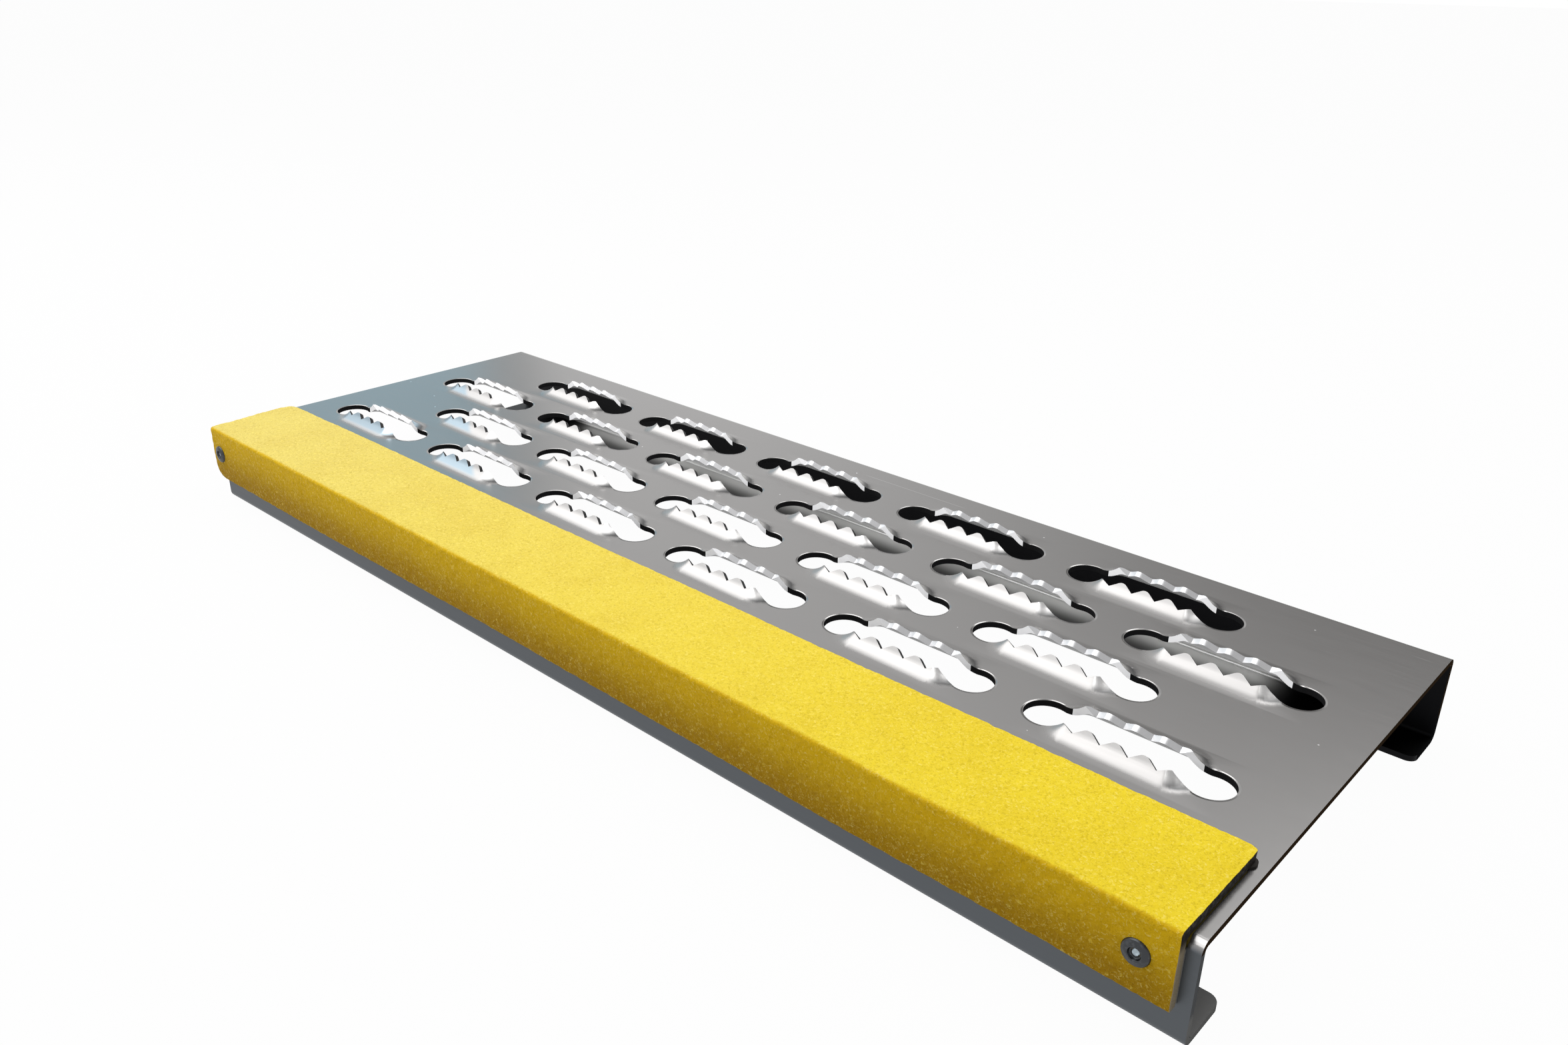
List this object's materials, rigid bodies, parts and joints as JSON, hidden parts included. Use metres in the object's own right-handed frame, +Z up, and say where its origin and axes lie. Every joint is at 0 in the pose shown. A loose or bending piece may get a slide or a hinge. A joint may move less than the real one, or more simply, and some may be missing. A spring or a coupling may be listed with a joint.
{
  "type": "stair tread",
  "caption": "Folded sheet-metal stair tread with raised toothed anti-slip slots and a riveted yellow grit-coated nosing.",
  "frame": {"origin": "middle of the footprint, on the floor under the two return lips", "axes": "+X along the tread, +Y from the nosing to the rear flange, +Z up through the walking surface"},
  "size_m": [0.6, 0.2242, 0.0443],
  "materials": {
    "steel_sheet": "satin mill-finish sheet",
    "grit_coating": "yellow grit coating on a moulded angle, rough and matt",
    "adhesive": "black flexible adhesive",
    "rivet": "dull grey rivet",
    "rivet_pin": "bright broken pin"
  },
  "bodies": {
    "root": {"tread_plate": "steel_sheet", "nosing": "grit_coating", "top_adhesive": "adhesive", "front_adhesive": "adhesive", "left_rivet_body": "rivet", "right_rivet_body": "rivet", "left_rivet_mandrel": "rivet_pin", "right_rivet_mandrel": "rivet_pin"}
  },
  "joints": []
}
